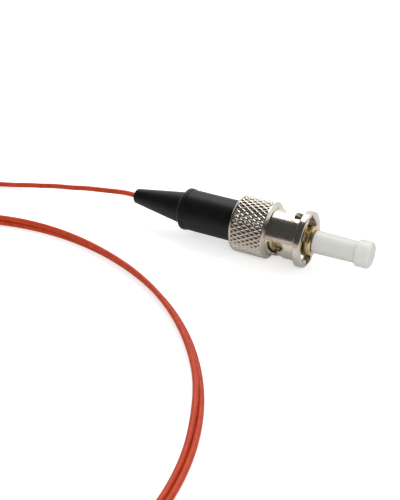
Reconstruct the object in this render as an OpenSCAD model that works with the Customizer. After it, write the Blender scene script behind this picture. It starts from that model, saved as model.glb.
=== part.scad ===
// Bayonet fibre connector on a fibre pigtail, with its dust cap on.
// +X runs along the connector towards the mating end, +Z is up, and the origin is the
// centre of the ferrule's polished end face. The connector lies on its knurled nut.

/* [Ferrule] */
// Ferrule diameter
ferrule_d = 2.5; // [2.4:0.01:2.6]
// Ferrule length
ferrule_l = 12.6; // [11.5:0.1:13.6]
// How far the ferrule stands out of the plug body's collar
ferrule_reach = 7.4; // [6.8:0.1:8]
// Chamfer at the ferrule's polished end
ferrule_chamfer = 0.25; // [0.1:0.05:0.4]
// Mouth of the cone in the ferrule's back end
cone_d = 1.2; // [0.8:0.1:1.6]
// Depth of that cone
cone_l = 1.6; // [1:0.1:2.2]

/* [Fibre] */
// Bare glass fibre diameter
glass_d = 0.125; // [0.1:0.005:0.2]
// Coated fibre diameter
coating_d = 0.25; // [0.22:0.01:0.4]
// Buffered fibre diameter
buffer_d = 0.9; // [0.8:0.05:1]
// Coated stretch between the bare glass and the buffer
coating_l = 2; // [1.5:0.1:3]

/* [Plug body] */
// Collar diameter
collar_d = 4.95; // [4.6:0.05:5.2]
// Collar length, from its front face to the spring flange
collar_l = 6.25; // [5.6:0.05:6.8]
// How far the collar stands ahead of the nut at rest
collar_proud = 0.95; // [0.6:0.05:1.2]
// Key width
key_w = 1.2; // [0.8:0.1:1.6]
// Key height above the collar
key_h = 0.75; // [0.5:0.05:0.85]
// Key length
key_l = 2.2; // [1.5:0.1:4]
// How far the key starts behind the collar's front face
key_inset = 0.35; // [0.3:0.05:0.6]
// Turn of the key about the axis, from straight up
key_turn = -55; // [-90:5:90]
// Spring flange diameter
flange_d = 6.6; // [6.2:0.05:6.8]
// Spring flange thickness
flange_l = 0.8; // [0.6:0.05:1]
// Shaft diameter behind the flange
shaft_d = 5; // [4.8:0.05:5.1]
// Length of the grip stub inside the boot
stub_l = 7.4; // [6:0.1:8.4]
// Height of the grip rings on the stub
grip_h = 0.12; // [0.05:0.01:0.2]
// Number of grip rings
grip_count = 4; // [2:1:5]
// Bore behind the ferrule, for the guide tube
guide_d = 1.8; // [1.5:0.05:1.9]

/* [Coupling nut] */
// Bore that slides over the adapter's barrel
nut_bore_d = 7.06; // [7:0.01:7.15]
// Front rim diameter
rim_d = 9.48; // [9:0.02:9.6]
// Front rim length
rim_l = 1.25; // [0.9:0.05:1.5]
// Rounding of the rim's edges
rim_round = 0.28; // [0.1:0.02:0.4]
// Smooth barrel diameter
barrel_d = 7.88; // [7.7:0.02:8.2]
// Smooth barrel length
barrel_l = 5; // [4.95:0.05:5.5]
// Diameter over the knurl
knurl_d = 9.66; // [9.3:0.02:10]
// Length of the knurled grip with its lands
knurl_l = 6.55; // [6:0.05:7.2]
// Chamfered land ahead of the knurl
land_l = 0.55; // [0.3:0.05:0.8]
// Rounding of the nut's back edge
back_round = 0.7; // [0.4:0.05:1]
// Depth of the knurl
knurl_depth = 0.3; // [0.15:0.01:0.34]
// Knurl pits around the nut
knurl_count = 36; // [32:1:42]
// Half pitches of the knurl along the nut
knurl_rows = 7; // [6:1:10]
// Web that the spring bears on
web_l = 1; // [0.7:0.05:1.2]
// Recess behind the web, for the retaining clip
recess_l = 0.65; // [0.5:0.05:0.8]
// Recess diameter
recess_d = 6.5; // [6.3:0.05:7]

/* [Bayonet slots] */
// Width of the ramp
slot_w = 1.7; // [1.5:0.05:1.9]
// Width of the entry channel through the rim
entry_w = 1.9; // [1.7:0.05:2.2]
// Diameter over the two entry channels
entry_d = 8.5; // [8.3:0.05:8.7]
// Turn from the entry to the locked place
lock_turn = 84; // [75:1:90]
// Middle of the ramp's start, behind the rim
ramp_start = 0.95; // [0.8:0.05:1.2]
// Middle of the ramp's end, behind the rim
ramp_end = 3.85; // [3.4:0.05:3.9]
// Extra width of the ramp's mouth, on the side of the barrel
ramp_flare = 0.7; // [0.4:0.05:0.8]
// Round end of the ramp
lobe_d = 1.8; // [1.7:0.05:2]
// Detent pocket that holds the adapter's lug
detent_d = 1.9; // [1.7:0.05:2]
// Middle of the detent pocket, behind the rim
detent_at = 2.7; // [2.4:0.05:2.9]

/* [Spring, washer and clip] */
// Spring wire diameter
wire_d = 0.36; // [0.3:0.02:0.42]
// Radial gap between the body's shaft and the spring
spring_gap = 0.17; // [0.12:0.01:0.2]
// Turns of the spring
spring_turns = 5.5; // [5:0.5:6]
// Thrust washer thickness
washer_l = 0.3; // [0.2:0.02:0.4]
// Radial gap between the thrust washer and the nut's bore
washer_gap = 0.08; // [0.05:0.01:0.15]
// Retaining clip thickness
clip_l = 0.4; // [0.3:0.02:0.45]
// Radial gap between the retaining clip and its recess
clip_clear = 0.15; // [0.12:0.01:0.25]
// Depth of the clip's groove in the shaft
groove_h = 0.35; // [0.25:0.01:0.45]
// Opening of the clip, in degrees
clip_gap = 80; // [60:5:110]

/* [Boot] */
// Gap between the nut's back face and the boot
boot_gap = 0.2; // [0.1:0.05:0.4]
// Sleeve length, with its lip
sleeve_l = 9.9; // [9.2:0.05:10.5]
// Sleeve diameter
sleeve_d = 7.06; // [6.9:0.02:7.4]
// Lip diameter
lip_d = 7.3; // [7.1:0.02:7.6]
// Lip length
lip_l = 0.7; // [0.5:0.05:1]
// Length of the flare from the lip down to the tail
flare_l = 0.75; // [0.5:0.05:1]
// Tail diameter at the flare
tail_d = 5.5; // [5.2:0.05:5.8]
// Tail diameter at the tip
tip_d = 2.66; // [2.5:0.02:3]
// Tail length
tail_l = 9.5; // [9.5:0.1:10.5]
// Guide tube length
guide_l = 22.8; // [18:0.1:24]

/* [Dust cap] */
// Gap between the collar and the cap
cap_gap = 0.1; // [0.05:0.05:0.4]
// Cap diameter at its mouth
cap_mouth_d = 3.86; // [3.6:0.02:4]
// Cap diameter where it meets its head
cap_neck_d = 3.64; // [3.4:0.02:3.8]
// Head diameter
head_d = 4.48; // [4.3:0.02:4.8]
// Head length
head_l = 2.45; // [2.2:0.05:2.7]
// Rounding of the head
head_round = 0.55; // [0.3:0.05:0.7]
// How far the head's back face lies behind the ferrule's end
head_behind = 0.1; // [0:0.05:0.3]
// Gap between the ferrule's end and the bottom of the cap's bore
cap_clear = 0.15; // [0.1:0.05:0.3]

/* [Pigtail] */
// Half length of the large loop
loop_a = 45; // [44:0.5:46]
// Half width of the large loop
loop_b = 38; // [37:0.5:38.5]
// Mean radius of the small coil
coil_r = 21.5; // [20.5:0.5:21.5]
// Width of the tie along the cord
tie_w = 3; // [2:0.5:4]
// Thickness of the tie
tie_t = 0.15; // [0.1:0.01:0.15]
// Length of the straight free end
end_l = 12; // [8:1:12]
// Slope of the free end, in degrees
end_rise = 10; // [8:0.5:12]

/* [Fits] */
// Radial gap of glued and pushed-on seats
seat_gap = 0.02; // [0.01:0.005:0.03]
// Radial gap of sliding and turning seats
run_gap = 0.06; // [0.04:0.01:0.08]

/* [Hidden] */

$fn = 96;

// Stations along the axis, from the ferrule's end face backwards
collar_front = -ferrule_reach;
nut_front = collar_front - collar_proud;
rim_back = nut_front - rim_l;
knurl_front = rim_back - barrel_l;
nut_back = knurl_front - knurl_l;
web_back = nut_back + recess_l;
web_front = web_back + web_l;
flange_front = collar_front - collar_l;
flange_back = flange_front - flange_l;
washer_back = web_front + run_gap;
washer_front = washer_back + washer_l;
clip_front = web_back - run_gap;
clip_back = clip_front - clip_l;
boot_front = nut_back - boot_gap;
stub_back = boot_front - stub_l;
lip_back = boot_front - sleeve_l;
flare_back = lip_back - flare_l;
boot_tip = flare_back - tail_l;
ferrule_back = -ferrule_l;
coating_front = ferrule_back + 0.4;
coating_back = coating_front - coating_l;
epoxy_back = ferrule_back - 0.5;
guide_front = epoxy_back - seat_gap;
guide_back = guide_front - guide_l;
cap_mouth = collar_front + cap_gap;

floor_z = -knurl_d / 2;

// Points of a quarter round from angle a0 to a1 about (x, r), for a turned outline
function quarter(x, r, radius, a0, a1, steps = 8) =
    [for (i = [0:steps]) [
        x + radius * cos(a0 + (a1 - a0) * i / steps),
        r + radius * sin(a0 + (a1 - a0) * i / steps)
    ]];

// A solid turned about the X axis from an outline of [x, r] points
module turned(outline) {
    rotate([0, 90, 0])
        rotate_extrude()
            polygon([for (p = outline) [p[1], p[0]]]);
}

// A plain tube about the X axis
module tube_x(back, front, outer_d, inner_d) {
    turned([
        [back, inner_d / 2], [front, inner_d / 2],
        [front, outer_d / 2], [back, outer_d / 2]
    ]);
}

function unit(v) = v / norm(v);

// Direction of a path at point i
function heading(path, i, closed) =
    let (n = len(path))
    closed
        ? unit(path[(i + 1) % n] - path[(i + n - 1) % n])
        : unit(path[min(i + 1, n - 1)] - path[max(i - 1, 0)]);

// A section of [side, up] points set square to the path at point i
function ring(path, i, section, axis, closed) =
    let (
        along = heading(path, i, closed),
        side = unit(cross(axis, along)),
        up = cross(along, side)
    )
    [for (q = section) path[i] + q[0] * side + q[1] * up];

// One closed polyhedron swept along a path
module sweep(path, section, axis = [0, 0, 1], closed = false) {
    n = len(path);
    m = len(section);
    points = [for (i = [0:n - 1]) each ring(path, i, section, axis, closed)];
    spans = closed ? n : n - 1;
    sides = [for (i = [0:spans - 1], j = [0:m - 1])
        let (
            a = i * m + j,
            b = i * m + (j + 1) % m,
            c = ((i + 1) % n) * m + (j + 1) % m,
            d = ((i + 1) % n) * m + j
        )
        each [[a, c, b], [a, d, c]]];
    caps = closed ? [] : [
        [for (j = [0:m - 1]) j],
        [for (j = [m - 1:-1:0]) (n - 1) * m + j]
    ];
    polyhedron(points, concat(sides, caps), convexity = 8);
}

function round_section(d, sides) =
    [for (j = [0:sides - 1]) let (a = 360 * (j + 0.5) / sides) [cos(a), sin(a)] * d / 2];

// ---- Ferrule and what is glued in it ----

fibre_bore_d = glass_d + 0.005;

module ferrule() {
    color("ivory")
        turned(concat(
            [[0, fibre_bore_d / 2], [0, ferrule_d / 2 - ferrule_chamfer],
             [-ferrule_chamfer, ferrule_d / 2],
             [ferrule_back + 0.1, ferrule_d / 2],
             [ferrule_back, ferrule_d / 2 - 0.1]],
            [[ferrule_back, cone_d / 2], [ferrule_back + cone_l, fibre_bore_d / 2]]
        ));
}

module glass_fibre() {
    color("lightcyan")
        translate([coating_front, 0, 0])
            rotate([0, 90, 0])
                cylinder(d = glass_d, h = -coating_front, $fn = 24);
}

module fibre_coating() {
    color("aliceblue")
        translate([coating_back, 0, 0])
            rotate([0, 90, 0])
                cylinder(d = coating_d, h = coating_l, $fn = 24);
}

// Adhesive that fills the ferrule's back cone and stands a little behind it
module epoxy() {
    glass_hole_r = fibre_bore_d / 2;
    coating_hole_r = coating_d / 2 + 0.0025;
    color("goldenrod")
        turned([
            [ferrule_back + cone_l - 0.08, glass_hole_r],
            [coating_front, glass_hole_r],
            [coating_front, coating_hole_r],
            [epoxy_back, coating_hole_r],
            [epoxy_back, guide_d / 2 - 0.15],
            [ferrule_back - seat_gap, guide_d / 2 - 0.05],
            [ferrule_back - seat_gap, cone_d / 2 - seat_gap],
            [ferrule_back + cone_l - 0.08, glass_hole_r + 0.02]
        ]);
}

module guide_tube() {
    color("white")
        tube_x(guide_back, guide_front, guide_d, buffer_d + 2 * seat_gap);
}

module buffered_fibre() {
    color("orangered")
        translate([boot_tip, 0, 0])
            rotate([0, 90, 0])
                cylinder(d = buffer_d, h = coating_back - boot_tip, $fn = 48);
}

// ---- Plug body: one turned piece with its key ----

module plug_body() {
    shaft_r = shaft_d / 2;
    grip_r = shaft_r + grip_h;
    edge = 0.2;
    grip_pitch = (stub_l - 1) / grip_count;
    grips = [for (i = [0:grip_count - 1])
        let (x = boot_front - 0.8 - i * grip_pitch)
        each [[x, shaft_r], [x, grip_r], [x - grip_pitch * 0.6, shaft_r]]];
    key_r = collar_d / 2 + key_h;
    lead_in = 0.35;
    beyond = 1;
    color("silver") {
        difference() {
            union() {
                turned(concat(
                    [[collar_front, 0], [collar_front, collar_d / 2 - edge],
                     [collar_front - edge, collar_d / 2],
                     [flange_front, collar_d / 2], [flange_front, flange_d / 2],
                     [flange_back, flange_d / 2], [flange_back, shaft_r],
                     [clip_front + seat_gap, shaft_r],
                     [clip_front + seat_gap, shaft_r - groove_h],
                     [clip_back - seat_gap, shaft_r - groove_h],
                     [clip_back - seat_gap, shaft_r]],
                    grips,
                    [[stub_back + edge, shaft_r], [stub_back, shaft_r - edge], [stub_back, 0]]
                ));
                rotate([-key_turn, 0, 0])
                    translate([collar_front - key_inset - key_l, -key_w / 2, 0])
                        cube([key_l, key_w, key_r]);
            }
            // Seat of the ferrule, then the passage of the guide tube
            rotate([0, 90, 0]) {
                translate([0, 0, ferrule_back - seat_gap])
                    cylinder(d = ferrule_d + 2 * seat_gap, h = ferrule_l);
                translate([0, 0, stub_back - 1])
                    cylinder(d = guide_d + 2 * seat_gap, h = ferrule_back - stub_back + 1);
            }
            // Lead-in round the ferrule
            turned([
                [collar_front + beyond, 0],
                [collar_front + beyond, ferrule_d / 2 + lead_in + beyond],
                [collar_front - lead_in, ferrule_d / 2], [collar_front - lead_in, 0]
            ]);
        }
    }
}

// ---- Spring, thrust washer and retaining clip ----

// Compression spring with closed ends: the pitch eases to nothing over the end turns
module spring() {
    steps_per_turn = 14;
    front = flange_back - seat_gap - wire_d / 2;
    back = washer_front + seat_gap + wire_d / 2;
    steps = spring_turns * steps_per_turn;
    mean_r = shaft_d / 2 + spring_gap + wire_d / 2;
    closed_share = 0.75 / spring_turns;
    end_rise = wire_d * 1.1;
    // Rise along the axis at share s: slow over each end turn, steady between them
    rise = function (s)
        s < closed_share ? end_rise * s / closed_share
        : s > 1 - closed_share ? front - back - end_rise * (1 - s) / closed_share
        : end_rise + (front - back - 2 * end_rise) * (s - closed_share) / (1 - 2 * closed_share);
    path = [for (i = [0:steps])
        let (turn = 360 * i / steps_per_turn)
        [back + rise(i / steps), mean_r * sin(turn), mean_r * cos(turn)]];
    color("gainsboro")
        sweep(path, round_section(wire_d, 6), axis = [1, 0, 0]);
}

module thrust_washer() {
    color("lightgray")
        tube_x(washer_back, washer_front, nut_bore_d - 2 * washer_gap, shaft_d + 2 * run_gap);
}

// C-clip snapped into the shaft's groove, its opening at the top
module retaining_clip() {
    inner_r = shaft_d / 2 - groove_h + seat_gap;
    outer_r = recess_d / 2 - clip_clear;
    color("dimgray")
        rotate([0, 90, 0])
            rotate_extrude(angle = 360 - clip_gap, start = 180 + clip_gap / 2)
                translate([inner_r, clip_back])
                    square([outer_r - inner_r, clip_l]);
}

// ---- Coupling nut: turned, knurled and slotted ----

knurl_core_r = knurl_d / 2 - knurl_depth - 0.13;
knurl_zone_front = knurl_front - land_l;
knurl_zone_back = nut_back + back_round;

// Middle of the ramp at share s of its turn: [turn, distance behind the rim].
// The lug first runs steeply in, then levels out towards the locked place.
ramp_power = 2.4;
function ramp(s) = [
    lock_turn * s,
    ramp_start + (ramp_end - ramp_start) * (1 - pow(1 - s, ramp_power))
];

// One slot's ramp as a closed cutter that bends round the axis. Its mouth widens towards
// the barrel, where the adapter's lug first lands.
module ramp_cutter(inner_r, outer_r) {
    steps = 13;
    wall_r = barrel_d / 2;
    turn_of = 180 / PI / wall_r;
    edges = [for (i = [0:steps])
        let (
            s = (i - 1) / (steps - 1),
            here = ramp(s),
            ahead = ramp(min(s + 0.04, 1)),
            behind = ramp(s - 0.04),
            square_to = unit([behind[1] - ahead[1], (ahead[0] - behind[0]) / turn_of]),
            inner_w = slot_w / 2 + ramp_flare * pow(1 - s, 2)
        )
        [
            [here[0] + square_to[0] * inner_w * turn_of, here[1] + square_to[1] * inner_w],
            [here[0] - square_to[0] * slot_w / 2 * turn_of, here[1] - square_to[1] * slot_w / 2]
        ]];
    place = function (edge, r) [
        rim_back - edge[1], r * sin(edge[0]), r * cos(edge[0])
    ];
    points = [for (e = edges)
        each [place(e[0], inner_r), place(e[1], inner_r), place(e[1], outer_r), place(e[0], outer_r)]];
    corners = 4;
    last = corners * steps;
    sides = [for (i = [0:steps - 1], j = [0:corners - 1])
        let (a = corners * i + j, b = corners * i + (j + 1) % corners, c = b + corners, d = a + corners)
        each [[a, b, c], [a, c, d]]];
    polyhedron(
        points,
        concat(sides, [[3, 2, 1, 0], [last, last + 1, last + 2, last + 3]]),
        convexity = 8
    );
}

// A round pocket through the wall, at a turn and a distance behind the rim
module wall_pocket(turn, behind, d, outer_r) {
    rotate([-turn, 0, 0])
        translate([rim_back - behind, 0, 0])
            cylinder(d = d, h = outer_r);
}

module bayonet_slot() {
    outer_r = barrel_d / 2 + 0.3;
    inner_r = nut_bore_d / 2 - 0.6;
    ramp_cutter(inner_r, outer_r);
    wall_pocket(lock_turn, ramp_end, lobe_d, outer_r);
    wall_pocket(lock_turn, detent_at, detent_d, outer_r);
    // Entry channel, closed outwards by the rim
    translate([rim_back - ramp_start, -entry_w / 2, inner_r])
        cube([ramp_start + rim_l + 1, entry_w, entry_d / 2 - inner_r]);
}

// Female diamond knurl: ridges cross at the even points of a grid round the nut, and
// each odd point is the bottom of a four-sided pit. The first and last rows and the
// inner face lie in the metal of the nut.
module knurl() {
    n = 2 * knurl_count;
    sunk = 0.05;
    front = knurl_zone_front + sunk;
    back = knurl_zone_back - sunk;
    ridge_r = knurl_d / 2;
    pit_r = ridge_r - knurl_depth;
    sunk_r = knurl_core_r + 0.05;
    inner_r = knurl_core_r - 0.15;
    grid = [for (b = [0:knurl_rows], a = [0:n - 1])
        let (
            end = b == 0 || b == knurl_rows,
            r = end ? sunk_r : (a + b) % 2 == 0 ? ridge_r : pit_r,
            turn = 360 * a / n
        )
        [front + (back - front) * b / knurl_rows, r * sin(turn), r * cos(turn)]];
    inner = [for (x = [front, back], a = [0:n - 1])
        let (turn = 360 * a / n)
        [x, inner_r * sin(turn), inner_r * cos(turn)]];
    at = function (a, b) b * n + (a + n) % n;
    in_at = function (a, end) (knurl_rows + 1 + end) * n + (a + n) % n;
    pits = [for (b = [0:knurl_rows], a = [0:n - 1])
        if ((a + b) % 2 == 1)
            let (
                pit = at(a, b),
                left = at(a - 1, b),
                right = at(a + 1, b),
                ahead = at(a, b - 1),
                behind = at(a, b + 1)
            )
            each concat(
                b > 0 ? [[pit, ahead, left], [pit, right, ahead]] : [],
                b < knurl_rows ? [[pit, behind, right], [pit, left, behind]] : []
            )];
    ends = [for (a = [0:n - 1])
        each [
            [at(a, 0), at(a + 1, 0), in_at(a, 0)],
            [at(a + 1, 0), in_at(a + 1, 0), in_at(a, 0)],
            [at(a, knurl_rows), in_at(a, 1), at(a + 1, knurl_rows)],
            [at(a + 1, knurl_rows), in_at(a, 1), in_at(a + 1, 1)],
            [in_at(a, 0), in_at(a + 1, 0), in_at(a, 1)],
            [in_at(a + 1, 0), in_at(a + 1, 1), in_at(a, 1)]
        ]];
    polyhedron(concat(grid, inner), concat(pits, ends), convexity = 10);
}

module coupling_nut() {
    rim_r = rim_d / 2;
    barrel_r = barrel_d / 2;
    knurl_r = knurl_d / 2;
    bore_r = nut_bore_d / 2;
    web_r = shaft_d / 2 + run_gap;
    mouth = 0.25;
    land_foot_r = barrel_r + 0.3;
    color("silver")
        union() {
            difference() {
                turned(concat(
                    [[nut_front, bore_r + mouth]],
                    quarter(nut_front - rim_round, rim_r - rim_round, rim_round, 0, 90),
                    quarter(rim_back + rim_round, rim_r - rim_round, rim_round, 90, 180),
                    [[rim_back, barrel_r], [knurl_front, barrel_r], [knurl_front, land_foot_r],
                     [knurl_front - land_l * 0.7, knurl_r], [knurl_zone_front, knurl_r],
                     [knurl_zone_front, knurl_core_r], [knurl_zone_back, knurl_core_r]],
                    quarter(nut_back + back_round, knurl_r - back_round, back_round, 90, 180),
                    [[nut_back, recess_d / 2], [web_back, recess_d / 2], [web_back, web_r],
                     [web_front, web_r], [web_front, bore_r], [nut_front - mouth, bore_r]]
                ));
                bayonet_slot();
                rotate([180, 0, 0])
                    bayonet_slot();
            }
            knurl();
        }
}

// ---- Boot: one moulded piece ----

module boot() {
    stub_bore_r = shaft_d / 2 + grip_h + seat_gap;
    guide_bore_r = guide_d / 2 + seat_gap;
    fibre_bore_r = buffer_d / 2 + seat_gap;
    sleeve_r = sleeve_d / 2;
    lip_r = lip_d / 2;
    tail_r = tail_d / 2;
    tip_r = tip_d / 2;
    edge = 0.25;
    tip_round = 0.4;
    lip_front = lip_back + lip_l;
    flare_steps = 8;
    // The flare is a hollow curve: it leaves the lip steeply and runs into the tail
    flare = [for (i = [0:flare_steps])
        let (s = i / flare_steps)
        [lip_back - flare_l * s, tail_r + (lip_r - 0.1 - tail_r) * pow(1 - s, 2)]];
    color([0.06, 0.06, 0.07])
        turned(concat(
            [[boot_front, stub_bore_r + edge], [boot_front, sleeve_r - edge]],
            [[boot_front - edge, sleeve_r], [lip_front + 0.25, sleeve_r],
             [lip_front, lip_r], [lip_back + 0.1, lip_r]],
            flare,
            quarter(boot_tip + tip_round, tip_r - tip_round, tip_round, 90, 180),
            [[boot_tip, fibre_bore_r], [guide_back - 0.3, fibre_bore_r],
             [guide_back - 0.05, guide_bore_r], [stub_back - 0.3, guide_bore_r],
             [stub_back - 0.1, stub_bore_r], [boot_front - edge, stub_bore_r]]
        ));
}

// ---- Dust cap: one moulded piece, closed at its head ----

module dust_cap() {
    bore_r = ferrule_d / 2 + seat_gap;
    head_back = -head_behind;
    head_front = head_back + head_l;
    small = 0.2;
    color([0.93, 0.94, 0.93])
        turned(concat(
            [[cap_mouth, bore_r + small], [cap_mouth, cap_mouth_d / 2],
             [head_back, cap_neck_d / 2], [head_back, head_d / 2 - small],
             [head_back + small, head_d / 2]],
            quarter(head_front - head_round, head_d / 2 - head_round, head_round, 90, 0),
            [[head_front, 0], [cap_clear, 0], [cap_clear, bore_r], [cap_mouth + small, bore_r]]
        ));
}

// ---- The pigtail's cord ----

// Height of a strand's middle where it lies on the tie's band, just above the floor
strand_z = floor_z + tie_t + buffer_d / 2;

// Route of the lead, from the boot's tip down to the floor and round into the loop
lead_route = [
    [-41.5, 0, 0], [-43.5, 0, 0], [-45.5, 0, -0.2], [-48, -0.1, -0.5], [-50.5, 0, -0.9],
    [-53, 0.2, -1.4], [-55.5, 0.4, -2], [-58, 0.6, -2.5], [-60.5, 0.7, -3], [-63, 0.6, -3.5],
    [-65.5, 0.2, -3.8], [-68, -0.4, -4.1], [-70.5, -1.2, -4.2], [-73.9, -2.4, -4.23],
    [-77, -4, -4.23], [-79.8, -6.1, -4.23], [-82.2, -8.7, -4.23], [-84.2, -11.6, -4.23],
    [-85.7, -14.8, -4.23], [-86.7, -18.2, -4.23], [-87.3, -21.7, -4.23], [-87.5, -25.2, -4.23],
    [-87.5, -28.8, -4.23], [-87.4, -32.4, -4.23], [-87.3, -35.4, -4.23]
];

// The large loop is an oval, and the small round coil lies inside it, where they are tied
loop_centre = [-44.6, -53];
loop_turn = -39;
touch_turn = 218.3;
loop_touch = [-76.7, -74.2];
loop_out = 1;
loop_in = 1.4;
coil_half_w = 0.95;
bundle_h = 1.75;
coil_inset = loop_in + coil_half_w + 0.1;
coil_centre = loop_touch - (coil_r + coil_inset) * [cos(touch_turn), sin(touch_turn)];

// A bundle's outer shape: flat underneath, with its edges cut off
function bundle_section(inner, outer, h) =
    let (c = 0.4)
    [[-outer + c, 0], [inner - c, 0], [inner, c], [inner, h - c],
     [inner - c, h], [-outer + c, h], [-outer, h - c], [-outer, c]];

module fibre_lead() {
    color("orangered")
        sweep(lead_route, round_section(buffer_d, 8));
}

module fibre_loop() {
    steps = 72;
    path = [for (i = [0:steps - 1])
        let (
            t = 360 * i / steps,
            x = loop_a * cos(t),
            y = loop_b * sin(t)
        )
        [loop_centre[0] + x * cos(loop_turn) - y * sin(loop_turn),
         loop_centre[1] + x * sin(loop_turn) + y * cos(loop_turn),
         floor_z + tie_t]];
    color("orangered")
        sweep(path, bundle_section(loop_in, loop_out, bundle_h), closed = true);
}

// The free end leaves the coil's top along its tangent and springs up a little. It bends
// from end_from to end_straight, and is clear of the coil at end_clear
end_turn = 50;
end_up = 0.78;
end_from = 4;
end_straight = 10;
end_clear = 11;

// Height of the free end above a strand on the floor, at a distance from the tangent point
function end_height(s) =
    end_up + tan(end_rise) * (s < end_straight
        ? pow(s - end_from, 2) / (2 * (end_straight - end_from))
        : s - (end_from + end_straight) / 2);

// Puts things at the coil's tangent point, with +Y along the free end
module at_end() {
    translate([coil_centre[0], coil_centre[1], strand_z])
        rotate([0, 0, end_turn])
            translate([coil_r, 0, 0])
                children();
}

module fibre_coil() {
    color("orangered")
        union() {
            translate([coil_centre[0], coil_centre[1], floor_z + tie_t])
                rotate_extrude()
                    polygon([for (p = bundle_section(coil_half_w, coil_half_w, bundle_h))
                        [coil_r + p[0], p[1]]]);
            at_end()
                sweep([for (s = [end_from, 6, 8, end_straight, end_clear]) [0, s, end_height(s)]],
                    round_section(buffer_d, 8));
        }
}

module fibre_tail() {
    color("orangered")
        at_end()
            translate([0, end_clear, end_height(end_clear)])
                rotate([end_rise - 90, 0, 0])
                    cylinder(d = buffer_d, h = end_l, $fn = 48);
}

// A flat band round both bundles where they touch
module coil_tie() {
    slack = 0.1;
    inside_w = loop_out + loop_in + 2 * coil_half_w + 0.1 + 2 * slack;
    inside_h = bundle_h + slack;
    outer = loop_out + slack;
    color("black")
        translate([loop_touch[0], loop_touch[1], floor_z])
            rotate([0, 0, touch_turn])
                rotate([90, 0, 0])
                    translate([0, 0, -tie_w / 2])
                        linear_extrude(tie_w)
                            difference() {
                                translate([outer - inside_w - tie_t, 0])
                                    square([inside_w + 2 * tie_t, inside_h + 2 * tie_t]);
                                translate([outer - inside_w, tie_t])
                                    square([inside_w, inside_h]);
                            }
}

ferrule();
glass_fibre();
fibre_coating();
epoxy();
guide_tube();
buffered_fibre();
plug_body();
spring();
thrust_washer();
retaining_clip();
coupling_nut();
boot();
dust_cap();
fibre_lead();
fibre_loop();
fibre_coil();
fibre_tail();
coil_tie();
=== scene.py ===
"""A bayonet fibre connector on its orange pigtail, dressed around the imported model.

Lengths are in millimetres, multiplied by mm where Blender wants metres.
"""

import math
from functools import partial

import bpy
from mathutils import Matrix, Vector


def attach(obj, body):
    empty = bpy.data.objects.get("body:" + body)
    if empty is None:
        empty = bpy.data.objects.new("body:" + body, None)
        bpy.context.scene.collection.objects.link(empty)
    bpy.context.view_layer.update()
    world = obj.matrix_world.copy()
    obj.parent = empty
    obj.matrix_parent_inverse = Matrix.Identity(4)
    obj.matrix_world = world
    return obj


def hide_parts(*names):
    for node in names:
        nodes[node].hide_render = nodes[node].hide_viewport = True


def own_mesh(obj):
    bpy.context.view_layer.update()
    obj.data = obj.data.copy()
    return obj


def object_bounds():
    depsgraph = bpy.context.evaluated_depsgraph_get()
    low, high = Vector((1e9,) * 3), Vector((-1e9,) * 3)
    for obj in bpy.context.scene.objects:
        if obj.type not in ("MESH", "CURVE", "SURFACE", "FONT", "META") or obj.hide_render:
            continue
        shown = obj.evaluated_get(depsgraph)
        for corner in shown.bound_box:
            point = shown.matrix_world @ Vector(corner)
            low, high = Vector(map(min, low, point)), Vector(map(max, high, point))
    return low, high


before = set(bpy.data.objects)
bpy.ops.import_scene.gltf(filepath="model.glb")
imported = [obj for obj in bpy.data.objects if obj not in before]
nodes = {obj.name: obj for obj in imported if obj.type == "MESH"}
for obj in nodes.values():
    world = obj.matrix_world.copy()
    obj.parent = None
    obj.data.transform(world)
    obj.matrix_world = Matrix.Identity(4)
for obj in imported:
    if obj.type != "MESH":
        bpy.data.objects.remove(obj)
cad_low, cad_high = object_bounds()
mm = 0.001

# ---- Camera ----
# Looks down on the connector from its mating side, near enough for the lead and the loop's
# nearest arc to leave the picture on the left and at the bottom.
camera_azimuth = math.radians(28.1)
camera_elevation = math.radians(31)
camera_aim = Vector((-28.65, -0.08, -7.6)) * mm
camera_distance = 167.5 * mm
looking = Vector(
    (
        -math.sin(camera_azimuth) * math.cos(camera_elevation),
        math.cos(camera_azimuth) * math.cos(camera_elevation),
        -math.sin(camera_elevation),
    )
)
camera_data = bpy.data.cameras.new("camera")
camera_data.lens = 68.4
camera_data.sensor_width = 36
camera_data.clip_start = 0.01
camera_data.clip_end = 20
camera = bpy.data.objects.new("camera", camera_data)
camera.location = camera_aim - looking * camera_distance
camera.rotation_euler = looking.to_track_quat("-Z", "Y").to_euler()
bpy.context.scene.collection.objects.link(camera)
bpy.context.scene.camera = camera

# ---- Fibre pigtail ----
# One metre of 0.9 mm buffered fibre: glass, coating and a smooth extruded orange buffer.
# It leaves the boot, sinks to the table, runs twice round a wide oval and ends in a
# small round coil, with its bare end lying free inside the oval.
fibre_d = 0.9
# Height of a strand's middle where it lies on the tie's band
strand_z = -4.23
# Rise of a strand that rests in the groove between two others
nested = 0.78
lead = [
    (-41.5, 0, 0), (-43.5, 0, 0), (-45.5, 0, -0.2), (-48, -0.1, -0.5), (-50.5, 0, -0.9),
    (-53, 0.2, -1.4), (-55.5, 0.4, -2), (-58, 0.6, -2.5), (-60.5, 0.7, -3), (-63, 0.6, -3.5),
    (-65.5, 0.2, -3.8), (-68, -0.4, -4.1), (-70.5, -1.2, -4.2), (-73.9, -2.4, -4.23),
    (-77, -4, -4.23), (-79.8, -6.1, -4.23), (-82.2, -8.7, -4.23), (-84.2, -11.6, -4.23),
    (-85.7, -14.8, -4.23), (-86.7, -18.2, -4.23), (-87.3, -21.7, -4.23), (-87.5, -25.2, -4.23),
    (-87.5, -28.8, -4.23), (-87.4, -32.4, -4.23), (-87.3, -35.8, -4.23), (-87.1, -39.4, -4.23),
]
oval_centre, oval_turn, oval_a, oval_b = (-44.6, -53), math.radians(-39), 45, 38
coil_r = 21.5
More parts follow.
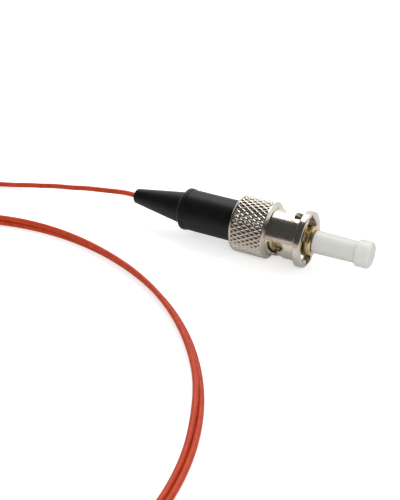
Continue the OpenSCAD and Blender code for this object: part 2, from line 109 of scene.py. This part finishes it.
# Where the coil touches the oval: the place, its turn round the coil, and how far it lies
# from the coil's middle
touch_place, touch_turn, touch_gap = (-76.7, -74.2), 218.3, 23.95
coil_centre = (
    touch_place[0] - touch_gap * math.cos(math.radians(touch_turn)),
    touch_place[1] - touch_gap * math.sin(math.radians(touch_turn)),
)


def eased(at, stops):
    """A value that moves smoothly from stop to stop; each stop is (where, value)."""
    if at <= stops[0][0]:
        return stops[0][1]
    for (a, u), (b, v) in zip(stops, stops[1:]):
        if at < b:
            s = (at - a) / (b - a)
            return u + (v - u) * s * s * (3 - 2 * s)
    return stops[-1][1]


def on_oval(turn, out, up):
    """A place by the oval's own line: out is away from its middle, up from the table."""
    t = math.radians(turn)
    x, y = oval_a * math.cos(t), oval_b * math.sin(t)
    nx, ny = oval_b * math.cos(t), oval_a * math.sin(t)
    n = math.hypot(nx, ny)
    x, y = x + out * nx / n, y + out * ny / n
    c, s = math.cos(oval_turn), math.sin(oval_turn)
    x, y = oval_centre[0] + x * c - y * s, oval_centre[1] + x * s + y * c
    return Vector((x, y, strand_z + up))


def on_coil(turn, out, up):
    """A place by the coil's own line, as on_oval gives one by the oval's."""
    t = math.radians(turn)
    r = coil_r + out
    x, y = coil_centre[0] + r * math.cos(t), coil_centre[1] + r * math.sin(t)
    return Vector((x, y, strand_z + up))


route = [Vector(p) for p in lead]
# Round the oval: the second turn lies inside the first, then climbs across it
oval_start, oval_end, oval_touch, oval_step = 213, 965, 975, 4
inward = [(515, 0), (545, -fibre_d), (770, -fibre_d)]
round_first = [(770, 180), (790, 135), (830, 120), (880, 65), (905, 120)]
turn = oval_start
while turn < oval_end:
    if turn < inward[-1][0]:
        route.append(on_oval(turn, eased(turn, inward), 0))
    else:
        lean = math.radians(eased(turn, round_first))
        route.append(on_oval(turn, fibre_d * math.cos(lean), fibre_d * math.sin(lean)))
    turn += oval_step
# Over the inner strand and down into the small coil, where the tie holds both. The steps
# are 1 mm long, and the oval is oval_degree mm long per degree here
half_d = 0.45
crossing, oval_degree = 8, 0.777
crossing_up = [(-crossing, nested), (-2, fibre_d), (0, fibre_d), (crossing, 0)]
for step in range(-crossing, crossing + 1):
    share = eased(step, [(-crossing, 0), (crossing, 1)])
    up = eased(step, crossing_up)
    oval_place = on_oval(oval_touch + step / oval_degree, -half_d, up)
    coil_turn = touch_turn + math.degrees(step / (coil_r + half_d))
    route.append(oval_place.lerp(on_coil(coil_turn, half_d, up), share))
# Round the coil: outside, inside, then on top
coil_start, coil_end, coil_step = 246, 1130, 6
coil_out = [(503, half_d), (548, -half_d), (815, -half_d), (863, 0)]
coil_up = [(815, 0), (863, nested), (885, 0.92), (908, nested)]
turn = coil_start
while turn < coil_end:
    route.append(on_coil(turn, eased(turn, coil_out), eased(turn, coil_up)))
    turn += coil_step
# The free end leaves along the coil's tangent and springs up a little
tangent = Vector((-math.sin(math.radians(coil_end)), math.cos(math.radians(coil_end)), 0))
end_slope, bend_from, bend_to = math.tan(math.radians(10)), 4, 10
for run in (0, 2, 4, 6, 8, 10, 12, 14, 17, 20, 22.8):
    bent = min(max(run, bend_from), bend_to) - bend_from
    straight = max(run - bend_to, 0)
    up = nested + end_slope * (bent * bent / (2 * (bend_to - bend_from)) + straight)
    route.append(on_coil(coil_end, 0, up) + tangent * run)


def strand(name, route, diameter, roundness, smoothness):
    """A round bar along a route of places, as a curve; it isn't in the scene yet."""
    curve = bpy.data.curves.new(name, "CURVE")
    curve.dimensions = "3D"
    curve.bevel_depth = diameter / 2 * mm
    curve.bevel_resolution = roundness
    curve.resolution_u = smoothness
    curve.use_fill_caps = True
    spline = curve.splines.new("BEZIER")
    spline.bezier_points.add(len(route) - 1)
    for point, place in zip(spline.bezier_points, route):
        point.co = place * mm
        point.handle_left_type = point.handle_right_type = "AUTO"
    return bpy.data.objects.new(name, curve)


fibre = strand("fibre", route, fibre_d, 5, 4)
bpy.context.scene.collection.objects.link(fibre)


def finish(name, **sockets):
    """A new material; each word sets the shader's socket of that name, its _ read as a space."""
    material = bpy.data.materials.new(name)
    material.use_nodes = True
    shader = material.node_tree.nodes["Principled BSDF"]
    for words, value in sockets.items():
        shader.inputs[words.replace("_", " ")].default_value = value
    return material


def put(tree, socket, value):
    """Sets a socket to a plain value, or links it to another node's output."""
    if isinstance(value, bpy.types.NodeSocket):
        tree.links.new(value, socket)
    else:
        socket.default_value = value


def add(tree, kind, **values):
    """A new node; each word sets the input of that name, its _ read as a space."""
    node = tree.nodes.new(kind)
    for words, value in values.items():
        put(tree, node.inputs[words.replace("_", " ")], value)
    return node


def feed(material, socket, value):
    """Links an output to one of the sockets of the material's shader."""
    tree = material.node_tree
    tree.links.new(value, tree.nodes["Principled BSDF"].inputs[socket])


def grain(material, scale, detail, stretch=(1, 1, 1)):
    """Noise through the piece; stretch draws it out along an axis. Gives the noise's output."""
    tree = material.node_tree
    place = add(tree, "ShaderNodeTexCoord").outputs["Object"]
    drawn = add(tree, "ShaderNodeMapping", Vector=place, Scale=stretch).outputs["Vector"]
    noise = add(tree, "ShaderNodeTexNoise", Vector=drawn, Scale=scale, Detail=detail)
    return noise.outputs["Fac"]


def tone(material, share, dark, light):
    """The base colour, from dark to light as share goes from low to high."""
    ramp = add(material.node_tree, "ShaderNodeValToRGB", Fac=share)
    low_stop, high_stop = ramp.color_ramp.elements
    low_stop.position, high_stop.position = 0.35, 0.65
    low_stop.color, high_stop.color = (*dark, 1), (*light, 1)
    feed(material, "Base Color", ramp.outputs["Color"])


def roughen(material, share, smooth, rough):
    """The roughness, from smooth to rough as share goes from 0 to 1."""
    tree = material.node_tree
    span = add(tree, "ShaderNodeMapRange", Value=share, To_Min=smooth, To_Max=rough)
    feed(material, "Roughness", span.outputs["Result"])


def emboss(material, share, height, strength=0.3):
    """Fine relief that follows share; height is in millimetres."""
    tree = material.node_tree
    bump = add(tree, "ShaderNodeBump", Height=share, Strength=strength, Distance=height * mm)
    feed(material, "Normal", bump.outputs["Normal"])


fibre_orange = finish("fibre_orange", Specular_IOR_Level=0.35)
tone(fibre_orange, grain(fibre_orange, 900, 3), (0.437, 0.033, 0.005), (0.538, 0.051, 0.008))
roughen(fibre_orange, grain(fibre_orange, 2500, 2), 0.38, 0.52)
fibre.data.materials.append(fibre_orange)

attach(fibre, "connector")
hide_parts("fibre_lead", "fibre_loop", "fibre_coil", "fibre_tail")

# ---- Coil tie ----
# A flat black band closed round both bundles of fibre where they touch. It is woven nylon
# tape, with a fine rib across it.


def dress(node, material):
    """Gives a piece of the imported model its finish."""
    data = nodes[node].data
    data.materials.clear()
    data.materials.append(material)


tie_tape = finish("tie_tape", Specular_IOR_Level=0.2, Sheen_Weight=0.3, Sheen_Roughness=0.5)
tone(tie_tape, grain(tie_tape, 3000, 2), (0.012, 0.012, 0.014), (0.03, 0.03, 0.032))
roughen(tie_tape, grain(tie_tape, 5000, 2), 0.6, 0.85)
emboss(tie_tape, grain(tie_tape, 1, 1, (1500, 1500, 9000)), 0.02)
dress("coil_tie", tie_tape)

# ---- Ferrule and the fibre in it ----
# A ground and polished zirconia ferrule. The glass fibre is glued in its bore with amber
# epoxy, and behind it the lacquer coating runs back to the orange buffer.
ceramic = finish("ceramic", Subsurface_Weight=0.3, Subsurface_Scale=0.0006)
tone(ceramic, grain(ceramic, 700, 3), (0.78, 0.72, 0.58), (0.86, 0.81, 0.68))
roughen(ceramic, grain(ceramic, 1, 2, (9000, 300, 300)), 0.08, 0.2)
dress("ferrule", ceramic)

fibre_glass = finish("fibre_glass", Transmission_Weight=0.9, IOR=1.46)
tone(fibre_glass, grain(fibre_glass, 2000, 1), (0.88, 0.94, 0.96), (0.95, 0.98, 1))
roughen(fibre_glass, grain(fibre_glass, 4000, 1), 0.02, 0.08)
dress("glass_fibre", fibre_glass)

fibre_coating = finish("fibre_coating", Transmission_Weight=0.5, IOR=1.5)
tone(fibre_coating, grain(fibre_coating, 1500, 2), (0.82, 0.85, 0.85), (0.9, 0.92, 0.92))
roughen(fibre_coating, grain(fibre_coating, 3000, 2), 0.15, 0.3)
dress("fibre_coating", fibre_coating)

epoxy_amber = finish("epoxy_amber", Transmission_Weight=0.6, IOR=1.55, Coat_Weight=0.3)
tone(epoxy_amber, grain(epoxy_amber, 1200, 4), (0.5, 0.22, 0.04), (0.7, 0.36, 0.08))
roughen(epoxy_amber, grain(epoxy_amber, 2500, 3), 0.12, 0.35)
dress("epoxy", epoxy_amber)

# ---- Guide tube and the buffered fibre inside ----
# A white extruded inner tube leads the orange fibre through the plug body into the boot.
tube_white = finish("tube_white", Subsurface_Weight=0.2, Subsurface_Scale=0.0005)
tone(tube_white, grain(tube_white, 600, 3), (0.72, 0.72, 0.7), (0.8, 0.8, 0.78))
roughen(tube_white, grain(tube_white, 1, 2, (300, 4000, 4000)), 0.4, 0.6)
dress("guide_tube", tube_white)
dress("buffered_fibre", fibre_orange)

# ---- Plug body ----
# One piece turned from brass bar, with its key, and flash plated, so that the warm metal
# shows through. The turning leaves fine rings round the axis.
plug_plate = finish("plug_plate", Metallic=1)
tone(plug_plate, grain(plug_plate, 500, 3), (0.58, 0.44, 0.22), (0.72, 0.58, 0.34))
roughen(plug_plate, grain(plug_plate, 1, 2, (9000, 60, 60)), 0.16, 0.34)
emboss(plug_plate, grain(plug_plate, 1, 1, (6000, 40, 40)), 0.004)
dress("plug_body", plug_plate)

# ---- Spring, thrust washer and retaining clip ----
# The spring is coiled from drawn steel wire with closed ends. The washer and the clip are
# pressed from strip. The clip is blackened.
wire_d, winding_r, windings, steps_per_winding = 0.36, 2.85, 5.5, 24
spring_back, spring_front, nut_travel = -19.12, -14.47, 2.3
# At each end the first three quarters of a winding lie closed, barely more than a wire apart
closed_share = 0.75 / windings
closed_rise = wire_d * 1.1
open_rise = spring_front - spring_back - wire_d - 2 * closed_rise
winding_steps = int(windings * steps_per_winding)
winding_route = []
for step in range(winding_steps + 1):
    share = step / winding_steps
    back_end = min(share / closed_share, 1)
    middle = min(max((share - closed_share) / (1 - 2 * closed_share), 0), 1)
    front_end = max((share - 1 + closed_share) / closed_share, 0)
    x = spring_back + wire_d / 2 + closed_rise * (back_end + front_end) + open_rise * middle
    around = 2 * math.pi * windings * share
    winding_route.append(Vector((x, winding_r * math.sin(around), winding_r * math.cos(around))))
winding = strand("winding", winding_route, wire_d, 4, 2)
spring = bpy.data.objects.new("coil_spring", bpy.data.meshes.new_from_object(winding))
bpy.data.objects.remove(winding)
bpy.context.scene.collection.objects.link(spring)

spring_wire = finish("spring_wire", Metallic=1)
tone(spring_wire, grain(spring_wire, 800, 3), (0.42, 0.41, 0.39), (0.56, 0.55, 0.53))
roughen(spring_wire, grain(spring_wire, 4000, 3), 0.2, 0.38)
emboss(spring_wire, grain(spring_wire, 6000, 2), 0.004)
spring.data.materials.append(spring_wire)
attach(spring, "connector")
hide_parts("spring")
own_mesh(spring)

washer_steel = finish("washer_steel", Metallic=1)
tone(washer_steel, grain(washer_steel, 900, 3), (0.5, 0.5, 0.49), (0.64, 0.64, 0.63))
roughen(washer_steel, grain(washer_steel, 3000, 4), 0.25, 0.45)
dress("thrust_washer", washer_steel)

clip_steel = finish("clip_steel", Metallic=1)
tone(clip_steel, grain(clip_steel, 900, 4), (0.1, 0.095, 0.09), (0.2, 0.19, 0.18))
roughen(clip_steel, grain(clip_steel, 3000, 4), 0.35, 0.6)
dress("retaining_clip", clip_steel)

# ---- Coupling nut ----
# One brass piece: turned, slotted for the bayonet lugs, rolled with a diamond knurl and
# nickel plated. The plate is bright and slightly warm, and the turning leaves fine rings.
nickel = finish("nickel", Metallic=1)
tone(nickel, grain(nickel, 400, 4), (0.66, 0.61, 0.53), (0.74, 0.69, 0.61))
roughen(nickel, grain(nickel, 1, 2, (9000, 60, 60)), 0.14, 0.26)
emboss(nickel, grain(nickel, 1, 1, (5000, 30, 30)), 0.003)
dress("coupling_nut", nickel)

# The rolled diamonds: rounded ridges cross round the grip, with a four-sided pit in each.
# Their ridges stand a hair proud of the nut's own skin, so that the two never meet
knurl_front = -15.15
knurl_back = -20.45
knurl_d = 9.66
knurl_proud = 0.012
knurl_depth = 0.27
knurl_pits = 36
knurl_half_rows = 7


def reckon(tree, operation, *values):
    """A new sum of the kind named, on plain values or outputs. Gives the sum's output."""
    node = add(tree, "ShaderNodeMath")
    node.operation = operation
    for socket, value in zip(node.inputs, values):
        put(tree, socket, value)
    return node.outputs[0]


def knurl_tree():
    """Nodes that wrap a band of knurl round the X axis, from cells that are one pit each."""
    tree = bpy.data.node_groups.new("diamond_knurl", "GeometryNodeTree")
    tree.interface.new_socket("Geometry", in_out="OUTPUT", socket_type="NodeSocketGeometry")
    for name, kind in (
        ("Pits round", "NodeSocketInt"),
        ("Half rows", "NodeSocketInt"),
        ("Steps in a pit", "NodeSocketInt"),
        ("Radius", "NodeSocketFloat"),
        ("Depth", "NodeSocketFloat"),
        ("Ridge rounding", "NodeSocketFloat"),
        ("Front", "NodeSocketFloat"),
        ("Back", "NodeSocketFloat"),
        ("Finish", "NodeSocketMaterial"),
    ):
        tree.interface.new_socket(name, in_out="INPUT", socket_type=kind)
    node, maths = partial(add, tree), partial(reckon, tree)
    given = node("NodeGroupInput")
    around = given.outputs["Pits round"]
    half_rows = given.outputs["Half rows"]

    def xyz(x, y, z):
        return node("ShaderNodeCombineXYZ", X=x, Y=y, Z=z).outputs[0]

    # A square cell set on its corner, two half pitches wide and long
    edge = maths("ADD", given.outputs["Steps in a pit"], 1)
    cell = node("GeometryNodeMeshGrid", Size_X=1, Size_Y=1, Vertices_X=edge, Vertices_Y=edge)
    cell = node(
        "GeometryNodeTransform",
        Geometry=cell.outputs["Mesh"],
        Rotation=(0, 0, math.radians(45)),
        Scale=(math.sqrt(2), math.sqrt(2), 1),
    )
    # One cell on each pit: every second half pitch round, shifted by one from row to row
    rows = maths("ADD", half_rows, 1)
    spots = node("GeometryNodeMeshGrid", Vertices_X=around, Vertices_Y=rows)
    number = node("GeometryNodeInputIndex").outputs[0]
    row = maths("MODULO", number, rows)
    column = maths("FLOOR", maths("DIVIDE", maths("ADD", number, 0.5), rows))
    shift = maths("MODULO", maths("ADD", row, 1), 2)
    spots = node(
        "GeometryNodeSetPosition",
        Geometry=spots.outputs["Mesh"],
        Position=xyz(maths("ADD", maths("MULTIPLY", column, 2), shift), row, 0),
    )
    cells = node(
        "GeometryNodeInstanceOnPoints",
        Points=spots.outputs["Geometry"],
        Instance=cell.outputs["Geometry"],
    )
    cells = node("GeometryNodeRealizeInstances", Geometry=cells.outputs["Instances"])
    # Cells that stand out of the first and last rows are cut away
    place = node("GeometryNodeInputPosition").outputs[0]
    place = node("ShaderNodeSeparateXYZ", Vector=place)
    a, b = place.outputs["X"], place.outputs["Y"]
    beyond = maths(
        "GREATER_THAN",
        maths("ABSOLUTE", maths("SUBTRACT", b, maths("DIVIDE", half_rows, 2))),
        maths("ADD", maths("DIVIDE", half_rows, 2), 0.1),
    )
    kept = node("GeometryNodeDeleteGeometry", Geometry=cells.outputs["Geometry"], Selection=beyond)
    kept.domain = "FACE"
    # Depth grows from the nearest ridge; the ridges run along both diagonals of the grid
    near_one = maths("PINGPONG", maths("DIVIDE", maths("ADD", a, b), 2), 0.5)
    near_two = maths("PINGPONG", maths("DIVIDE", maths("SUBTRACT", a, b), 2), 0.5)
    away = maths("MULTIPLY", maths("MINIMUM", near_one, near_two), 2)
    round_off = given.outputs["Ridge rounding"]
    squared = maths("MULTIPLY", round_off, round_off)
    fall = maths(
        "SUBTRACT", maths("SQRT", maths("ADD", maths("MULTIPLY", away, away), squared)), round_off
    )
    whole = maths("SUBTRACT", maths("SQRT", maths("ADD", squared, 1)), round_off)
    sunk = maths("MULTIPLY", given.outputs["Depth"], maths("DIVIDE", fall, whole))
    radius = maths("SUBTRACT", given.outputs["Radius"], sunk)
    turn = maths("DIVIDE", maths("MULTIPLY", a, math.pi), around)
    along = node(
        "ShaderNodeMapRange",
        Value=maths("DIVIDE", b, half_rows),
        To_Min=given.outputs["Front"],
        To_Max=given.outputs["Back"],
    )
    wrapped = node(
        "GeometryNodeSetPosition",
        Geometry=kept.outputs["Geometry"],
        Position=xyz(
            along.outputs["Result"],
            maths("MULTIPLY", radius, maths("SINE", turn)),
            maths("MULTIPLY", radius, maths("COSINE", turn)),
        ),
    )
    joined = node(
        "GeometryNodeMergeByDistance", Geometry=wrapped.outputs["Geometry"], Distance=0.002 * mm
    )
    smooth = node("GeometryNodeSetShadeSmooth", Geometry=joined.outputs["Geometry"])
    plain = node("GeometryNodeRealizeInstances", Geometry=smooth.outputs["Geometry"])
    coloured = node(
        "GeometryNodeSetMaterial",
        Geometry=plain.outputs["Geometry"],
        Material=given.outputs["Finish"],
    )
    node("NodeGroupOutput", Geometry=coloured.outputs["Geometry"])
    return tree


def grown(name, tree, values):
    """The plain mesh that a node tree makes; values are its named inputs."""
    seed = bpy.data.objects.new(name + "_seed", bpy.data.meshes.new(name + "_seed"))
    bpy.context.scene.collection.objects.link(seed)
    modifier = seed.modifiers.new("nodes", "NODES")
    modifier.node_group = tree
    for item in tree.interface.items_tree:
        if item.in_out == "INPUT" and item.name in values:
            modifier[item.identifier] = values[item.name]
    bpy.context.view_layer.update()
    ready = seed.evaluated_get(bpy.context.evaluated_depsgraph_get())
    piece = bpy.data.objects.new(name, bpy.data.meshes.new_from_object(ready))
    bpy.context.scene.collection.objects.link(piece)
    seed.modifiers.remove(modifier)
    bpy.data.objects.remove(seed)
    return piece


knurl = grown(
    "nut_knurl",
    knurl_tree(),
    {
        "Pits round": knurl_pits,
        "Half rows": knurl_half_rows,
        "Steps in a pit": 10,
        "Radius": (knurl_d / 2 + knurl_proud) * mm,
        "Depth": knurl_depth * mm,
        "Ridge rounding": 0.16,
        "Front": knurl_front * mm,
        "Back": knurl_back * mm,
        "Finish": nickel,
    },
)
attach(knurl, "nut")

# ---- Boot ----
# One black moulded rubber piece: a sleeve over the grip stub, a thick lip, and a tapered
# tail that holds the fibre. Its skin is satin with a fine mould texture.
boot_black = finish("boot_black", Specular_IOR_Level=0.3)
tone(boot_black, grain(boot_black, 500, 3), (0.0035, 0.0033, 0.003), (0.006, 0.0058, 0.0055))
roughen(boot_black, grain(boot_black, 1500, 3), 0.38, 0.5)
emboss(boot_black, grain(boot_black, 9000, 4), 0.02, 0.08)
dress("boot", boot_black)

# ---- Dust cap ----
# A soft white moulded cap, pushed on the ferrule and closed at its round head. The
# plastic is thin enough for the ferrule's cream colour to show faintly.
cap_white = finish(
    "cap_white",
    Subsurface_Weight=0.4,
    Subsurface_Radius=(1, 0.95, 0.8),
    Subsurface_Scale=0.0006,
    Transmission_Weight=0.2,
    IOR=1.45,
)
tone(cap_white, grain(cap_white, 400, 3), (0.76, 0.76, 0.72), (0.8, 0.8, 0.76))
roughen(cap_white, grain(cap_white, 2500, 3), 0.3, 0.42)
emboss(cap_white, grain(cap_white, 5000, 3), 0.006)
dress("dust_cap", cap_white)

# ---- Floor, light and backdrop ----
# A plain white table under soft studio light from above and behind. The room in front
# of the table is dark, which the plated nut mirrors as a dark band.
floor_reach, floor_glow = 3, 0.5
floor_mesh = bpy.data.meshes.new("floor")
floor_mesh.from_pydata(
    [
        (x * floor_reach, y * floor_reach, cad_low.z)
        for x, y in ((-1, -1), (1, -1), (1, 1), (-1, 1))
    ],
    [],
    [(0, 1, 2, 3)],
)
floor = bpy.data.objects.new("floor", floor_mesh)
bpy.context.scene.collection.objects.link(floor)
table = finish("table", Base_Color=(0.8, 0.8, 0.8, 1), Roughness=0.8, Specular_IOR_Level=0.1)
# The table glows a little for the rays that see it straight or through the clear pieces
tree = table.node_tree
rays = add(tree, "ShaderNodeLightPath").outputs
seen = reckon(tree, "MAXIMUM", rays["Is Camera Ray"], rays["Is Transmission Ray"])
glow = add(tree, "ShaderNodeEmission", Strength=reckon(tree, "MULTIPLY", seen, floor_glow))
both = add(tree, "ShaderNodeAddShader")
put(tree, both.inputs[0], tree.nodes["Principled BSDF"].outputs[0])
put(tree, both.inputs[1], glow.outputs[0])
put(tree, tree.nodes["Material Output"].inputs["Surface"], both.outputs[0])
floor_mesh.materials.append(table)

# The backdrop is white to the eye, dimmer as a fill, and in mirrors dark up to past the zenith
dark_room, fill_level = 0.05, 0.6
dark_to, white_from = math.radians(108), math.radians(150)
world = bpy.data.worlds.new("studio")
bpy.context.scene.world = world
world.use_nodes = True
tree = world.node_tree
sky = tree.nodes["Background"]
sky.inputs["Color"].default_value = (1, 1, 1, 1)
# How far a direction leans over from the front horizon, through the zenith, to the back
place = add(tree, "ShaderNodeTexCoord").outputs["Generated"]
parts = add(tree, "ShaderNodeSeparateXYZ", Vector=place).outputs
front = reckon(tree, "MULTIPLY", parts["Y"], -1)
room = add(
    tree,
    "ShaderNodeMapRange",
    Value=reckon(tree, "ARCTAN2", parts["Z"], front),
    From_Min=dark_to,
    From_Max=white_from,
    To_Min=dark_room,
    To_Max=1,
)
room.interpolation_type = "SMOOTHSTEP"
rays = add(tree, "ShaderNodeLightPath").outputs
level = add(tree, "ShaderNodeMix", Factor=rays["Is Glossy Ray"], A=1, B=room.outputs[0])
fill = add(tree, "ShaderNodeMix", Factor=rays["Is Diffuse Ray"], A=level.outputs[0], B=fill_level)
put(tree, sky.inputs["Strength"], fill.outputs[0])


def soft_light(name, place, glossy=True):
    """A round soft lamp that points at the connector; glossy says if mirrors show it."""
    lamp = bpy.data.lights.new(name, "AREA")
    lamp.shape = "DISK"
    lamp.size = 0.5
    lamp.energy = 2.2
    lit = bpy.data.objects.new(name, lamp)
    lit.location = place
    aim = Vector((-0.03, 0, 0)) - Vector(place)
    lit.rotation_euler = aim.to_track_quat("-Z", "Y").to_euler()
    lit.visible_glossy = glossy
    bpy.context.scene.collection.objects.link(lit)


soft_light("top_light", (-0.15, 0.35, 0.6))
soft_light("front_light", (0.3, -0.6, 0.5), glossy=False)

bpy.context.scene.view_settings.view_transform = "Standard"
